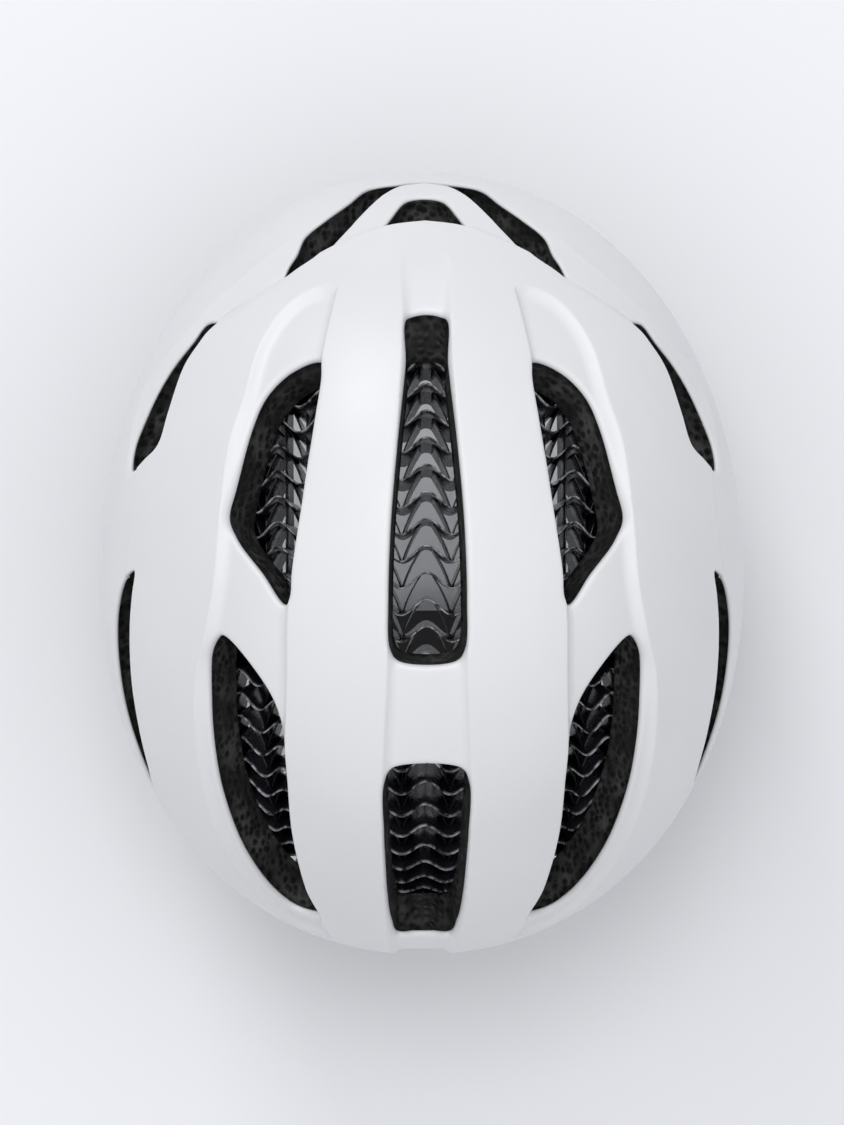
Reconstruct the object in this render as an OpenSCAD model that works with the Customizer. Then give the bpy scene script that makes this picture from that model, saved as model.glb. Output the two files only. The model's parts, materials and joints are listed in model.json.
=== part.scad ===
// Road cycling helmet: in-mould shells on a foam liner, a cellular inner liner, comfort pads,
// a dial fit system on a pivoting cradle, and chin straps with a side-release buckle.
// Millimetres. +Z is up, the front faces -Y and the rear +Y. The origin is on the brow plane,
// in the middle of the head opening. The straps hang as they do on a head.

/* [Dome] */
// Half the width of the helmet
half_w = 111; // [109:0.5:113]
// Reach of the dome in front of its centre
reach_front = 130; // [128:0.5:132]
// Reach of the dome behind its centre
reach_rear = 140; // [138:0.5:142]
// Height of the crown above the widest level
crown_h = 116; // [114:0.5:118]
// Squareness of the plan outline, where 2 is an ellipse
plan_power = 2.08; // [2:0.02:2.2]
// Thickness of the polycarbonate shells
shell_t = 1; // [0.8:0.1:1.2]
// Thickness of the foam liner
foam_t = 15.5; // [15:0.1:16]
// Thickness of the cellular liner
wave_t = 11; // [9:0.5:11.5]
// Thickness of the comfort pads
pad_t = 4.5; // [3:0.5:5]

/* [Fit system] */
// Radius of the inner fit belt around the head
belt_r = 82; // [81.5:0.1:82.5]
// Slope of the belt, which drops towards the nape
fit_slope = 20; // [18:1:22]
// Radius of the dial's grip
dial_r = 17; // [15:0.5:17.5]
// Teeth on the dial's pinion
pinion_teeth = 8; // [8:1:8]
// Teeth that would go round the whole belt circle
belt_teeth = 132; // [132:1:132]

/* [Straps] */
// Width of the webbing
web_w = 15; // [13:0.5:16]
// Thickness of the webbing
web_t = 1.4; // [1:0.1:1.6]

/* [Hidden] */

$fn = 48;

// Centre of the dome, at its widest level
centre = [0, -5, 12];
crown_power = 2.05;
skirt_h = 95;
skirt_power = 2.5;
// Clearance for the bond between two curved layers
bond = 0.4;
// Gap between parts that aren't bonded
gap = 0.3;
foam_out = shell_t + bond;
foam_in = foam_out + foam_t;
wave_out = foam_in + bond;
wave_in = wave_out + wave_t;
pad_out = wave_in + 2 * gap;
pad_in = pad_out + pad_t;
az_steps = 60;

// Tables of [azimuth, tilt from the crown]: azimuth 0 is the +X side, 90 the rear
RIM = [[-90, 94.5], [-50, 96], [-15, 101], [10, 99], [35, 103], [60, 104], [90, 101]];
SEAM = [[-90, 90], [-60, 88], [-39, 81], [-31.5, 76.5], [-17, 69], [0, 63], [11, 61.7],
    [26, 64.4], [40, 63.5], [51, 61.9], [65, 59], [72.4, 63], [80, 69.5], [86, 74.5], [90, 75]];
WAVE_EDGE = [[-90, 80], [-40, 82], [0, 84], [45, 80], [65, 71], [90, 68]];

// Vent outlines on the flattened dome: [degrees to +X of the crown, degrees behind it]
VENT_TOP = [[3, 43.3], [3.5, 35], [4.8, 22], [5.9, 9], [6.35, -4], [6.1, -11.5], [4.8, -13.6]];
VENT_BROW = [[5.7, -31.7], [7.1, -34.2], [7.25, -43.5], [7.1, -50.5], [6.9, -58],
    [6.4, -65.7], [5, -73], [2, -72.4]];
VENT_SIDE = [[18, 36.6], [17.4, 34], [18.4, 26.3], [20.5, 13.7], [22.4, 2], [22.9, -3.5],
    [24.2, -4.6], [28.5, 0.7], [33.5, 6.6], [34.9, 10], [33.7, 16], [30.5, 26.6],
    [27.8, 31.7], [23, 35.5]];
VENT_CHEEK = [[37, -10.4], [39, -13.5], [39.9, -23.5], [39.8, -33], [38.9, -42], [35.6, -56],
    [30.2, -67.5], [26.5, -70.5], [20.8, -69], [22.4, -58], [23.7, -45], [24.2, -30],
    [26.3, -21.5], [30.5, -15.5], [35.6, -10.7]];
VENT_SLIT_REAR = [[39, 48], [42, 44.8], [46, 40.5], [49.5, 32], [52, 26], [56, 24], [61.5, 22.4],
    [61.5, 27.4], [56, 36], [50.5, 41.5], [45, 45.3], [41.5, 48.2]];
VENT_SLIT_FRONT = [[59, 1.3], [64, -0.8], [68, -7], [70, -15], [70, -30], [67.5, -41],
    [64, -50], [61.5, -44], [61.5, -33], [62, -22], [61.2, -10], [60, -3.5]];
VENT_ARCH = [[25, 53.3], [22.9, 57.5], [21.5, 62], [18, 65.5], [14, 69.5], [10.5, 74.3],
    [5, 75.3], [1, 75.4]];
VENT_ARCH_INNER = [[1, 74.2], [4.5, 73], [8, 69.8], [12, 64.8], [19, 56]];
VENT_EXHAUST = [[6.4, 61.3], [4.6, 65], [2.3, 67.7]];
VENT_EXHAUST_LOW = [[-4, 61.9], [-2, 62.3]];

// Fit system, in its own sloped frame: belt circle centred on the origin, dial on +Y
fit_at = [0, 8, -10];
belt_t = 1.2;
belt_gap = 0.3;
belt_r2 = belt_r + belt_t + belt_gap;
channel_in = belt_r - belt_gap;
channel_out = belt_r2 + belt_t + belt_gap;
belt_half_h = 5;
rack_half_h = 9;
slot_half_h = 6.4;
slot_half_a = 14;
rack_half_a = 17;
belt_end_a = 123;
tooth_pitch_a = 360 / belt_teeth;
pitch_r = 5;
tooth_tip = 1.05;
housing_half_a = 15;
housing_in = channel_in - 1.7;
housing_out = channel_out + 3;
housing_half_h = rack_half_h + 3;
shaft_r = 3;
run_gap = 0.06;
knob_y = housing_out + 0.6;
knob_t = 8.5;
guide_a = -20;
guide_half_a = 4;
pivot_y = -28.5;
pivot_x = 82;
pin_r = 2.5;
arm_r = 115;
arm_t = 2;
arm_w = 14;
rail_from = 3;
rail_to = 13;

// Straps and buckle
anchor_az = [-27, 38];
anchor_tilt = 96.5;
divider = [75.5, -10, -64];
divider_size = [5, 24, 20];
lever_pivot = [80.6, -10, -57];
lever_w = 14;
lever_pin_r = 1;
buckle = [0, -30, -116];
buckle_w = 24;
buckle_t = 8;
prong_pivot = [18.5, 7.2];

shell_white = "whitesmoke";
foam_black = "#2c2d2f";
wave_smoke = "#3a3d40";
pad_black = "#1d1e20";
plastic_black = "#242527";

// --- Functions ---

function unit(v) = v / norm(v);

function direction(tilt, az) = [sin(tilt) * cos(az), sin(tilt) * sin(az), cos(tilt)];

function plan_reach(az) =
    let (reach = sin(az) > 0 ? reach_rear : reach_front)
    pow(pow(abs(cos(az)) / half_w, plan_power) + pow(abs(sin(az)) / reach, plan_power),
        -1 / plan_power);

function dome_r(tilt, az) =
    let (above = tilt <= 90)
    let (power = above ? crown_power : skirt_power)
    let (height = above ? crown_h : skirt_h)
    pow(pow(sin(tilt) / plan_reach(az), power) + pow(abs(cos(tilt)) / height, power), -1 / power);

function dome_point(tilt, az, depth) =
    centre + (dome_r(tilt, az) - depth) * direction(tilt, az);

// Azimuth folded to the +X half of the helmet, from -90 at the front to 90 at the rear
function folded(az) = asin(sin(az));

function on_flat(p, depth) = dome_point(norm(p), atan2(p.y, p.x), depth);

function flipped(points) = [for (i = [len(points) - 1:-1:0]) [-points[i].x, points[i].y]];

function both_sides(points) = concat(points, flipped(points));

// Smooth closed curve through an outline's points
function smooth(p, n = 2) = [
    for (i = [0:len(p) - 1], j = [0:n - 1])
        let (a = p[(i + len(p) - 1) % len(p)], b = p[i])
        let (c = p[(i + 1) % len(p)], d = p[(i + 2) % len(p)])
        let (t = j / n)
        0.5 * (2 * b + (c - a) * t + (2 * a - 5 * b + 4 * c - d) * t * t
            + (3 * b - a - 3 * c + d) * t * t * t)];

function signed_area(p) =
    let (terms = [for (i = [0:len(p) - 1]) cross(p[i], p[(i + 1) % len(p)])])
    terms * [for (t = terms) 0.5];

function clockwise(p) = signed_area(p) < 0 ? p : [for (i = [len(p) - 1:-1:0]) p[i]];

// Smooth open curve through a route's points
function route(p, n = 4) = concat([
    for (i = [0:len(p) - 2], j = [0:n - 1])
        let (a = p[max(i - 1, 0)], b = p[i], c = p[i + 1], d = p[min(i + 2, len(p) - 1)])
        let (t = j / n)
        0.5 * (2 * b + (c - a) * t + (2 * a - 5 * b + 4 * c - d) * t * t
            + (3 * b - a - 3 * c + d) * t * t * t)], [p[len(p) - 1]]);

function mirrored(p) = [for (q = p) [-q.x, q.y, q.z]];

// --- Building blocks ---

// Zeros keep every side as it is, so this only joins its children into one mesh
module one_mesh() resize([0, 0, 0]) union() children();

// Closed layer of the dome from one table of tilts down to another
module dome_ring(out, in, top, low, rows) {
    n = az_steps;
    function at(i, k, depth) =
        let (az = k * 360 / n, f = folded(az))
        let (a = lookup(f, top), b = lookup(f, low))
        dome_point(a + (b - a) * i / rows, az, depth);
    function id(i, k, layer) = (layer * (rows + 1) + i) * n + k % n;
    points = [for (layer = [0, 1], i = [0:rows], k = [0:n - 1]) at(i, k, layer == 0 ? out : in)];
    outside = [for (i = [0:rows - 1], k = [0:n - 1])
        [id(i, k, 0), id(i, k + 1, 0), id(i + 1, k + 1, 0), id(i + 1, k, 0)]];
    inside = [for (i = [0:rows - 1], k = [0:n - 1])
        [id(i + 1, k, 1), id(i + 1, k + 1, 1), id(i, k + 1, 1), id(i, k, 1)]];
    bottom = [for (k = [0:n - 1])
        [id(rows, k, 0), id(rows, k + 1, 0), id(rows, k + 1, 1), id(rows, k, 1)]];
    lid = [for (k = [0:n - 1]) [id(0, k + 1, 0), id(0, k, 0), id(0, k, 1), id(0, k + 1, 1)]];
    polyhedron(points, concat(outside, inside, bottom, lid));
}

// Closed layer of the dome from the crown down to a table of tilts
module dome_cap(out, in, low, rows) {
    n = az_steps;
    function at(i, k, depth) =
        let (az = k * 360 / n)
        dome_point(lookup(folded(az), low) * i / rows, az, depth);
    function id(i, k, layer) = 2 + (layer * rows + i - 1) * n + k % n;
    rings = [for (layer = [0, 1], i = [1:rows], k = [0:n - 1]) at(i, k, layer == 0 ? out : in)];
    points = concat([dome_point(0, 0, out), dome_point(0, 0, in)], rings);
    crown = [for (k = [0:n - 1]) [0, id(1, k + 1, 0), id(1, k, 0)]];
    ceiling = [for (k = [0:n - 1]) [1, id(1, k, 1), id(1, k + 1, 1)]];
    outside = [for (i = [1:rows - 1], k = [0:n - 1])
        [id(i, k, 0), id(i, k + 1, 0), id(i + 1, k + 1, 0), id(i + 1, k, 0)]];
    inside = [for (i = [1:rows - 1], k = [0:n - 1])
        [id(i + 1, k, 1), id(i + 1, k + 1, 1), id(i, k + 1, 1), id(i, k, 1)]];
    bottom = [for (k = [0:n - 1])
        [id(rows, k, 0), id(rows, k + 1, 0), id(rows, k + 1, 1), id(rows, k, 1)]];
    polyhedron(points, concat(crown, ceiling, outside, inside, bottom));
}

// Closed layer over a rectangle of the flattened dome, or of azimuth and tilt where polar is true
module dome_patch(out, in, from, to, cols, rows, polar = false) {
    function at(i, j, depth) =
        let (a = from.x + (to.x - from.x) * i / cols, b = from.y + (to.y - from.y) * j / rows)
        polar ? dome_point(b, a, depth) : on_flat([a, b], depth);
    function id(i, j, layer) = (layer * (rows + 1) + j) * (cols + 1) + i;
    points = [for (layer = [0, 1], j = [0:rows], i = [0:cols]) at(i, j, layer == 0 ? out : in)];
    outside = [for (j = [0:rows - 1], i = [0:cols - 1])
        [id(i, j, 0), id(i, j + 1, 0), id(i + 1, j + 1, 0), id(i + 1, j, 0)]];
    inside = [for (j = [0:rows - 1], i = [0:cols - 1])
        [id(i + 1, j, 1), id(i + 1, j + 1, 1), id(i, j + 1, 1), id(i, j, 1)]];
    front = [for (i = [0:cols - 1]) [id(i, 0, 0), id(i + 1, 0, 0), id(i + 1, 0, 1), id(i, 0, 1)]];
    back = [for (i = [0:cols - 1])
        [id(i + 1, rows, 0), id(i, rows, 0), id(i, rows, 1), id(i + 1, rows, 1)]];
    left = [for (j = [0:rows - 1]) [id(0, j + 1, 0), id(0, j, 0), id(0, j, 1), id(0, j + 1, 1)]];
    right = [for (j = [0:rows - 1])
        [id(cols, j, 0), id(cols, j + 1, 0), id(cols, j + 1, 1), id(cols, j, 1)]];
    faces = concat(outside, inside, front, back, left, right);
    // Azimuth and tilt turn the other way round from +X and back
    polyhedron(points, polar ? [for (f = faces) [f[3], f[2], f[1], f[0]]] : faces);
}

// Pyramid from the dome's centre out through a vent's outline
module vent_cutter(outline) {
    reach = 230;
    aims = [for (p = clockwise(smooth(outline))) direction(norm(p), atan2(p.y, p.x))];
    n = len(aims);
    middle = unit([for (i = [0:2]) [for (d = aims) d[i]] * [for (d = aims) 1]]);
    rim = [for (d = aims) centre + d * reach / (d * middle)];
    sides = [for (i = [0:n - 1]) [0, (i + 1) % n + 1, i + 1]];
    polyhedron(concat([centre], rim), concat([[for (i = [1:n]) i]], sides));
}

module vents() {
    vent_cutter(both_sides(VENT_TOP));
    vent_cutter(both_sides(VENT_BROW));
    vent_cutter(concat(both_sides(VENT_EXHAUST), both_sides(VENT_EXHAUST_LOW)));
    for (outline = [VENT_SIDE, VENT_CHEEK, VENT_SLIT_REAR, VENT_SLIT_FRONT]) {
        vent_cutter(outline);
        vent_cutter(flipped(outline));
    }
    for (half = [0, 1])
        vent_cutter(half == 0 ? concat(VENT_ARCH, VENT_ARCH_INNER)
            : flipped(concat(VENT_ARCH, VENT_ARCH_INNER)));
}

module pair() {
    children();
    mirror([1, 0, 0]) children();
}

// Moves its children into the sloped frame of the fit system
module in_fit_frame() translate(fit_at) rotate([-fit_slope, 0, 0]) children();

// Curved bar of the fit system: radius and height ranges, and angles from +X
module arc_bar(r0, r1, z0, z1, a0, a1)
    rotate([0, 0, a0]) rotate_extrude(angle = a1 - a0, $fn = 96)
        translate([r0, z0]) square([r1 - r0, z1 - z0]);

// Cylinder along +Y
module y_rod(r, y0, y1) translate([0, y1, 0]) rotate([90, 0, 0]) cylinder(r = r, h = y1 - y0);

// Cylinder along +X
module x_rod(r, x0, x1) translate([x0, 0, 0]) rotate([0, 90, 0]) cylinder(r = r, h = x1 - x0);

module block(x0, x1, y0, y1, z0, z1) translate([x0, y0, z0]) cube([x1 - x0, y1 - y0, z1 - z0]);

// Plate with its corners rounded along Z, centred on the origin
module rounded_plate(l, w, t, r) {
    translate([0, 0, -t / 2]) linear_extrude(t) {
        square([l - 2 * r, w], center = true);
        square([l, w - 2 * r], center = true);
        for (x = [-1, 1], y = [-1, 1])
            translate([x * (l / 2 - r), y * (w / 2 - r)]) circle(r = r);
    }
}

// Flat strap along a route, with its face turned towards outward at every point
module ribbon(p, outward, w, t) {
    n = len(p);
    rings = [for (i = [0:n - 1])
        let (along = unit(p[min(i + 1, n - 1)] - p[max(i - 1, 0)]))
        let (side = unit(cross(along, outward[min(i, len(outward) - 1)])))
        let (face = cross(side, along))
        for (c = [[-1, -1], [1, -1], [1, 1], [-1, 1]])
            p[i] + side * c.x * w / 2 + face * c.y * t / 2];
    walls = [for (i = [0:n - 2], k = [0:3])
        [i * 4 + k, (i + 1) * 4 + k, (i + 1) * 4 + (k + 1) % 4, i * 4 + (k + 1) % 4]];
    last = (n - 1) * 4;
    polyhedron(rings, concat(walls, [[0, 1, 2, 3], [last + 3, last + 2, last + 1, last]]));
}

// --- Helmet body ---

module outer_shell() color(shell_white) one_mesh() difference() {
    dome_cap(0, shell_t, SEAM, 12);
    vents();
}

module lower_shell() color(shell_white) one_mesh() difference() {
    dome_ring(0, shell_t, [for (s = SEAM) [s.x, s.y + 0.1]], RIM, 6);
    vents();
}

module foam_liner() color(foam_black) one_mesh() difference() {
    dome_cap(foam_out, foam_in, [for (s = RIM) [s.x, s.y - 0.4]], 14);
    vents();
    pair() {
        temple_pin_shape(0.1);
        for (az = anchor_az) anchor_shape(az, 0.1);
    }
    rail_boss(0.1);
}

module wave_liner() color(wave_smoke) dome_cap(wave_out, wave_in, WAVE_EDGE, 11);

module brow_pad() color(pad_black)
    dome_patch(pad_out, pad_in, [-145, 62], [-35, 77], 14, 3, polar = true);

module crown_pads() color(pad_black) pair()
    dome_patch(pad_out, pad_in, [9, -26], [17.5, 28], 2, 8);

module side_pad() dome_patch(pad_out, pad_in, [34, -24], [50, 30], 3, 8);

module side_pad_right() color(pad_black) mirror([1, 0, 0]) side_pad();

module side_pad_left() color(pad_black) side_pad();

module rear_pads() color(pad_black) pair()
    dome_patch(pad_out, pad_in, [16, 36], [30, 54], 3, 4);

// --- Anchors in the foam ---

// Strap anchor: a disc on the foam's inner wall with a peg into the foam
module anchor_shape(az, grow) {
    at = dome_point(anchor_tilt, az, foam_in);
    translate(at) rotate([0, 0, az]) {
        x_rod(6 + grow, -3, 1 + grow);
        x_rod(3 + grow, 0, 9 + grow);
    }
}

module strap_anchors() color(plastic_black) pair() for (az = anchor_az) anchor_shape(az, 0);

module at_pivot() in_fit_frame() translate([0, pivot_y, 0]) rotate([fit_slope, 0, 0]) children();

module temple_pin_shape(grow) at_pivot() {
    x_rod(pin_r + grow, pivot_x + 2, 101 + grow);
}

module temple_pins() color(plastic_black) pair() temple_pin_shape(0);

module rail_boss(grow) at_pivot() rotate([(rail_from + rail_to) / 2, 0, 0])
    y_rod(6 + grow, arm_r + arm_t + 2, 140 + grow);

// Curved plate about the temple pivot, swept between two angles above the horizontal
module arm_sweep(r0, r1, w, a0, a1) at_pivot() rotate([0, 90, 0]) rotate([0, 0, 90])
    rotate([0, 0, a0]) rotate_extrude(angle = a1 - a0, $fn = 96)
        translate([r0, -w / 2]) square([r1 - r0, w]);

module height_rail() color(plastic_black) {
    difference() {
        arm_sweep(arm_r - 2, arm_r + arm_t + 4, arm_w + 8, rail_from, rail_to);
        arm_sweep(arm_r - gap, arm_r + arm_t + gap, arm_w + 2 * gap, rail_from - 1, rail_to + 1);
        arm_sweep(arm_r - 3, arm_r, arm_w - 5, rail_from - 1, rail_to + 1);
    }
    difference() {
        rail_boss(0);
        arm_sweep(arm_r - 3, arm_r + arm_t + 3.9, arm_w + 8, rail_from - 3, rail_to + 3);
    }
}

// --- Cradle ---

module height_arm() color(plastic_black) difference() {
    arm_sweep(arm_r, arm_r + arm_t, arm_w, -12.6, 22);
    for (a = [6:3:21]) at_pivot() rotate([a, 0, 0]) y_rod(2, arm_r - 1, arm_r + arm_t + 1);
}

module dial_housing() color(plastic_black) in_fit_frame() difference() {
    arc_bar(channel_in, housing_out, -housing_half_h, housing_half_h, 90 - housing_half_a,
        90 + housing_half_a);
    arc_bar(channel_in - 1, channel_out, -rack_half_h - gap, rack_half_h + gap,
        90 - housing_half_a - 1, 90 + housing_half_a + 1);
    y_rod(shaft_r + run_gap, channel_out - 1, housing_out + 1);
}

module housing_cover() color(plastic_black) in_fit_frame()
    arc_bar(housing_in, channel_in, -housing_half_h, housing_half_h, 90 - housing_half_a,
        90 + housing_half_a);

module nape_pad() color(pad_black) in_fit_frame()
    arc_bar(housing_in - 4, housing_in - gap / 2, -10, 10, 90 - 22, 90 + 22);

module detent_spring() color("silver") in_fit_frame()
    translate([0, housing_out + 0.05, 0]) rotate([-90, 0, 0]) rotate([0, 0, 20])
        rotate_extrude(angle = 320) translate([8.2, 0]) square([0.8, 1.8]);

// Bracket that guides the belt at the temple and turns on the temple pin
module temple_guide() {
    difference() {
        union() {
            in_fit_frame() arc_bar(housing_in, channel_out + 2.8, -belt_half_h - 2.4,
                belt_half_h + 2.4, guide_a - guide_half_a, guide_a + guide_half_a);
            at_pivot() x_rod(5.5, pivot_x, pivot_x + 9);
        }
        in_fit_frame() arc_bar(channel_in, channel_out, -belt_half_h - gap, belt_half_h + gap,
            guide_a - guide_half_a - 4, guide_a + guide_half_a + 4);
        at_pivot() x_rod(pin_r + run_gap, pivot_x + 1.9, pivot_x + 10);
    }
}

module temple_guide_right() color(plastic_black) mirror([1, 0, 0]) temple_guide();

module temple_guide_left() color(plastic_black) temple_guide();

// --- Belts and dial ---

// Belt with a toothed slot over the dial; teeth is 1 for a rack above the pinion, -1 below
module belt(r, teeth) {
    tooth_half = 0.7;
    root_z = pitch_r + 1.5;
    difference() {
        arc_bar(r, r + belt_t, -rack_half_h, rack_half_h, 90 - rack_half_a, 90 + belt_end_a);
        for (low = [-rack_half_h - 1, belt_half_h])
            arc_bar(r - 1, r + belt_t + 1, low, low + rack_half_h - belt_half_h + 1, 90 + 28,
                90 + belt_end_a + 1);
        arc_bar(r - 1, r + belt_t + 1, -root_z, root_z, 90 - slot_half_a, 90 + slot_half_a);
    }
    for (i = [-4.5:1:4.5]) rotate([0, 0, i * tooth_pitch_a])
        translate([0, r + belt_t - 0.1, 0]) rotate([90, 0, 0])
            linear_extrude(belt_t - 0.2) polygon([
                [-tooth_half - 0.4, teeth * (root_z + 0.5)],
                [tooth_half + 0.4, teeth * (root_z + 0.5)],
                [tooth_half - 0.35, teeth * (pitch_r - tooth_tip)],
                [-tooth_half + 0.35, teeth * (pitch_r - tooth_tip)]]);
}

module belt_right() color(plastic_black) in_fit_frame() belt(belt_r, 1);

module belt_left() color(plastic_black) in_fit_frame() mirror([1, 0, 0]) belt(belt_r2, -1);

module pinion() color("dimgray") in_fit_frame() difference() {
    union() {
        y_rod(shaft_r, channel_in + 0.2, knob_y + 4);
        for (i = [0:pinion_teeth - 1]) rotate([0, i * 360 / pinion_teeth, 0])
            translate([0, channel_out - 0.5, 0]) rotate([90, 0, 0])
                linear_extrude(channel_out - channel_in - 0.7) polygon([
                    [-1, 2.4], [1, 2.4], [0.75, pitch_r], [0.4, pitch_r + tooth_tip],
                    [-0.4, pitch_r + tooth_tip], [-0.75, pitch_r]]);
    }
    y_rod(1.25, knob_y - 4, knob_y + 5);
}

module dial_knob() color(plastic_black) in_fit_frame() difference() {
    union() {
        y_rod(dial_r - 2.1, knob_y, knob_y + knob_t);
        y_rod(dial_r - 5, knob_y + knob_t - 0.1, knob_y + knob_t + 1);
    }
    y_rod(shaft_r + 0.01, knob_y - 1, knob_y + 4.01);
    y_rod(1.3, knob_y, knob_y + knob_t + 2);
    y_rod(2.8, knob_y + 5.5, knob_y + knob_t + 2);
    difference() {
        y_rod(11.5, knob_y - 1, knob_y + 2.5);
        y_rod(5.5, knob_y - 2, knob_y + 3);
    }
    for (i = [0:5]) rotate([0, i * 60 + 30, 0]) translate([8, 0, 0])
        y_rod(2, knob_y + knob_t - 1, knob_y + knob_t + 2);
}

module dial_grip() color(pad_black) in_fit_frame() difference() {
    y_rod(dial_r, knob_y + 0.4, knob_y + knob_t - 0.6);
    y_rod(dial_r - 2.05, knob_y - 1, knob_y + knob_t + 1);
    for (i = [0:17]) rotate([0, i * 20, 0]) translate([dial_r + 0.5, 0, 0])
        y_rod(1.3, knob_y - 1, knob_y + knob_t + 1);
}

module dial_screw() color("silver") in_fit_frame() difference() {
    union() {
        y_rod(1.2, knob_y - 3.5, knob_y + 5.6);
        y_rod(2.6, knob_y + 5.55, knob_y + 7.6);
    }
    for (a = [0, 90]) rotate([0, a, 0]) translate([0, knob_y + 7.4, 0])
        cube([3, 1.2, 0.6], center = true);
}

// --- Straps ---

FRONT_ROUTE = [[80.5, -51, -10], [80.5, -45, -20], [78.5, -32, -38], [76, -19, -53.5]];
REAR_ROUTE = [[75.5, 58.5, -14], [79, 50, -24], [80.5, 25, -41], [76, 0, -53.5]];
CHIN_START = [73.5, -14, -77.25];
CHIN_RUN = [-10.5, -7, -19.25];
CHIN_ROUTE = [for (t = [0:0.25:1]) CHIN_START + t * CHIN_RUN];

module side_strap(p) ribbon(route(p, 3), [[1, 0.1, 0]], web_w - 2, web_t);

module strap_front_right() color(pad_black) mirror([1, 0, 0]) side_strap(FRONT_ROUTE);

module strap_front_left() color(pad_black) side_strap(FRONT_ROUTE);

module strap_rear_right() color(pad_black) mirror([1, 0, 0]) side_strap(REAR_ROUTE);

module strap_rear_left() color(pad_black) side_strap(REAR_ROUTE);

// Route from a divider down its side of the jaw and under the chin to x = end
function chin_route(end) = concat(CHIN_ROUTE, [for (p = [[54, -26, -108], [44, -29.3, -114]]) p],
    [[min(end + 6, 38), -30, -116], [end, -30, -116]]);

function chin_faces(p) = [for (q = p) unit([q.x + 12, 0, q.z + 80])];

module chin_strap(end) {
    p = route(chin_route(end), 2);
    ribbon(p, chin_faces(p), web_w, web_t);
}

module chin_strap_left() color(pad_black) chin_strap(34.5);

module chin_strap_right() color(pad_black) mirror([1, 0, 0]) chin_strap(10.5);

// Frame that stands on the right chin strap's straight run, with +Z down along the strap
module on_chin_run(t) {
    along = unit(CHIN_RUN);
    side = unit(cross(along, unit([87, 0, -6])));
    face = cross(side, along);
    at = CHIN_START + t * CHIN_RUN;
    mirror([1, 0, 0]) multmatrix([
        [face.x, side.x, along.x, at.x],
        [face.y, side.y, along.y, at.y],
        [face.z, side.z, along.z, at.z]]) children();
}

module strap_keeper() color(pad_black) on_chin_run(0.5) difference() {
    cube([web_t + 4.4, web_w + 4.4, 4], center = true);
    cube([web_t + 1.4, web_w + 1.4, 6], center = true);
}

module chin_pad() color(pad_black) {
    p = route([[-36, -30, -112], [-30, -30, -113], [-22, -30, -113.5], [-13, -30, -113.5]], 2);
    ribbon(p, [[0, 0, 1]], web_w + 7, 2.6);
}

module divider_body() {
    difference() {
        union() {
            translate(divider) rotate([0, 90, 0])
                rounded_plate(divider_size.z, divider_size.y, divider_size.x, 4);
            for (s = [-1, 1]) translate([lever_pivot.x, lever_pivot.y + s * (lever_w / 2 + 1.3), 0])
                block(-3, 2.2, -1, 1, lever_pivot.z - 2.2, lever_pivot.z + 2.2);
        }
        translate(lever_pivot) y_rod(lever_pin_r, -lever_w, lever_w);
    }
}

module divider_right() color(plastic_black) mirror([1, 0, 0]) divider_body();

module divider_left() color(plastic_black) divider_body();

module lever_pins() color("silver") pair() translate(lever_pivot)
    y_rod(lever_pin_r - 0.01, -lever_w / 2 - 2.3, lever_w / 2 + 2.3);

module lever() difference() {
    translate(lever_pivot) {
        y_rod(2, -lever_w / 2, lever_w / 2);
        block(-0.6, 1.4, -lever_w / 2, lever_w / 2, -15, 0);
        block(-0.6, 3, -lever_w / 2, lever_w / 2, -15, -13);
    }
    translate(lever_pivot) y_rod(lever_pin_r + run_gap, -lever_w, lever_w);
}

module lever_right() color(plastic_black) mirror([1, 0, 0]) lever();

module lever_left() color(plastic_black) lever();

// --- Buckle, along X with the plug on +X ---

module buckle_socket() color(plastic_black) translate(buckle) difference() {
    translate([3, 0, 0]) rounded_plate(26, buckle_w, buckle_t, 3);
    block(-2, 17, -9.4, 9.4, -2.6, 2.6);
    for (s = [-1, 1]) translate([0, s * buckle_w / 2, 0]) block(3, 12, -4, 4, -2.6, 2.6);
    block(-11, -6, -web_w / 2 - 0.5, web_w / 2 + 0.5, -1.2, 1.2);
}

module buckle_plug() color(plastic_black) translate(buckle) difference() {
    union() {
        translate([25.2, 0, 0]) rounded_plate(18, buckle_w, buckle_t - 1, 3);
        block(4, 18, -2, 2, -2.2, 2.2);
    }
    block(30, 36, -web_w / 2 - 0.5, web_w / 2 + 0.5, -1.2, 1.2);
    for (s = [-1, 1]) {
        translate([prong_pivot.x, s * prong_pivot.y, -5]) cylinder(r = 1.9 + run_gap, h = 10);
        block(15, prong_pivot.x, s * prong_pivot.y - 2.6, s * prong_pivot.y + 2.6, -5, 5);
    }
}

module prong() {
    translate([prong_pivot.x, prong_pivot.y, -2.2]) cylinder(r = 1.9, h = 4.4);
    block(3, prong_pivot.x, prong_pivot.y - 1.4, prong_pivot.y + 1.4, -2.2, 2.2);
    block(3.5, 11.5, prong_pivot.y, prong_pivot.y + 2, -2.2, 2.2);
}

module prong_front() color(plastic_black) translate(buckle) mirror([0, 1, 0]) prong();

module prong_rear() color(plastic_black) translate(buckle) prong();

// --- Drawing ---

outer_shell();
lower_shell();
foam_liner();
wave_liner();
brow_pad();
crown_pads();
side_pad_right();
side_pad_left();
rear_pads();
height_rail();
temple_pins();
dial_housing();
housing_cover();
height_arm();
temple_guide_right();
temple_guide_left();
nape_pad();
detent_spring();
dial_knob();
dial_grip();
pinion();
dial_screw();
belt_right();
belt_left();
strap_anchors();
strap_front_right();
strap_front_left();
strap_rear_right();
strap_rear_left();
divider_right();
divider_left();
lever_pins();
lever_right();
lever_left();
chin_strap_right();
chin_strap_left();
strap_keeper();
chin_pad();
buckle_socket();
buckle_plug();
prong_front();
prong_rear();
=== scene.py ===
import json
import math

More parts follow.
